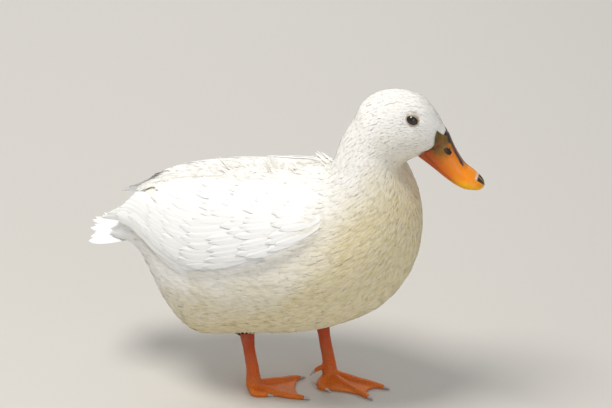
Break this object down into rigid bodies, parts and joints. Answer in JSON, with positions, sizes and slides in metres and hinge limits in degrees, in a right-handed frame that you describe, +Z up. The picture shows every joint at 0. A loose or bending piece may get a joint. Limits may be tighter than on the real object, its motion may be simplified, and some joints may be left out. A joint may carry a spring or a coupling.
{
  "type": "duck",
  "caption": "White domestic duck at life size, walking with the neck drawn in, folded wings, a short fanned tail, an orange bill and webbed feet.",
  "frame": {"origin": "on the floor, under the middle of the bird's length and width", "axes": "+X the way the body faces, +Y the bird's left, +Z up"},
  "size_m": [0.4102, 0.1678, 0.347],
  "materials": {
    "plumage": "matt, feathered",
    "bill": "satin",
    "eye": "wet gloss",
    "leg": "satin, scaled",
    "claw": "satin"
  },
  "bodies": {
    "root": {"bill_lower": "bill", "bill_upper": "bill", "claw_hind_left": "claw", "claw_hind_right": "claw", "claw_inner_left": "claw", "claw_inner_right": "claw", "claw_middle_left": "claw", "claw_middle_right": "claw", "claw_outer_left": "claw", "claw_outer_right": "claw", "eye_left": "eye", "eye_right": "eye", "foot_left": "leg", "foot_right": "leg", "head": "plumage", "leg_left": "leg", "leg_right": "leg", "neck": "plumage", "tail": "plumage", "trunk": "plumage", "wing_left": "plumage", "wing_right": "plumage"}
  },
  "joints": []
}
